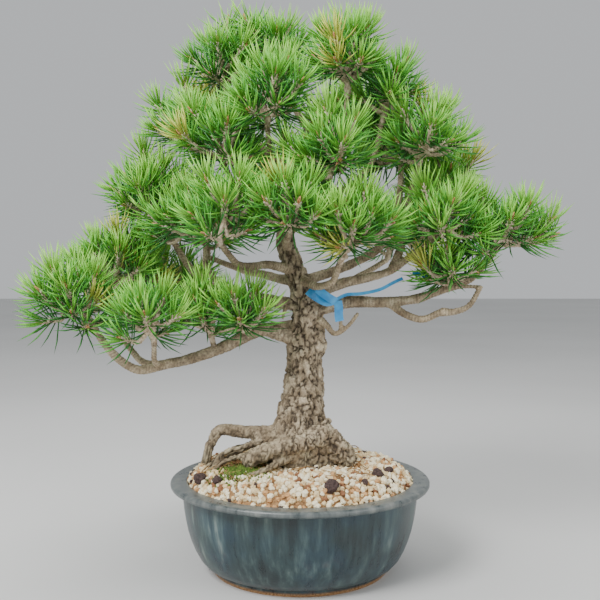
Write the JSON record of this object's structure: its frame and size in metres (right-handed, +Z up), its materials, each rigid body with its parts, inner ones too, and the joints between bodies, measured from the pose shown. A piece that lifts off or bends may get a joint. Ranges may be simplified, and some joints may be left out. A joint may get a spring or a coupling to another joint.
{
  "type": "potted bonsai pine tree",
  "caption": "Cork-barked Japanese black pine bonsai with spreading boughs and tufts of green needles, standing in a round blue-grey glazed pot.",
  "frame": {"origin": "middle of the flat underside of the pot, at floor level", "axes": "+Z up along the pot's axis, -Y towards the front of the tree, +X to the viewer's right"},
  "size_m": [0.5293, 0.3167, 0.5694],
  "materials": {
    "glaze": "thin streaked glaze over stoneware, satin",
    "grit": "loose matt pumice grit",
    "bark": "rough flaky bark, matt",
    "needles": "waxy pine needles, satin"
  },
  "bodies": {
    "root": {"bough_centre_front": "bark", "bough_crown_left": "bark", "bough_crown_rear": "bark", "bough_crown_right": "bark", "bough_crown_top": "bark", "bough_front_left": "bark", "bough_front_right": "bark", "bough_inner_left": "bark", "bough_inner_right": "bark", "bough_low_left": "bark", "bough_low_left_front": "bark", "bough_low_left_rear": "bark", "bough_low_right": "bark", "bough_low_right_hook": "bark", "bough_low_right_loop": "bark", "bough_rear_left": "bark", "bough_rear_low_left": "bark", "bough_rear_middle": "bark", "bough_rear_right": "bark", "bough_rising_right": "bark", "bough_second_left": "bark", "bough_second_left_fork": "bark", "bough_third_left": "bark", "bough_upper_left": "bark", "bough_upper_left_fork": "bark", "bough_upper_right": "bark", "bough_upper_right_rear": "bark", "bough_upper_right_riser": "bark", "foliage_centre_front": "needles", "foliage_far_left": "needles", "foliage_far_right": "needles", "foliage_front_left": "needles", "foliage_front_right": "needles", "foliage_left_centre": "needles", "foliage_left_front": "needles", "foliage_left_middle": "needles", "foliage_left_outer": "needles", "foliage_left_rear": "needles", "foliage_low_left_small": "needles", "foliage_low_left_spur": "needles", "foliage_low_right_spur": "needles", "foliage_rear_left": "needles", "foliage_rear_low_left": "needles", "foliage_rear_middle": "needles", "foliage_rear_right": "needles", "foliage_rear_top": "needles", "foliage_right_middle": "needles", "foliage_right_rear": "needles", "foliage_right_rise": "needles", "foliage_right_upper": "needles", "foliage_top_left": "needles", "foliage_top_middle": "needles", "foliage_top_middle_front": "needles", "foliage_top_peak": "needles", "foliage_top_right": "needles", "foliage_upper_left": "needles", "foliage_upper_left_front": "needles", "pot": "glaze", "soil": "grit", "trunk": "bark"}
  },
  "joints": []
}
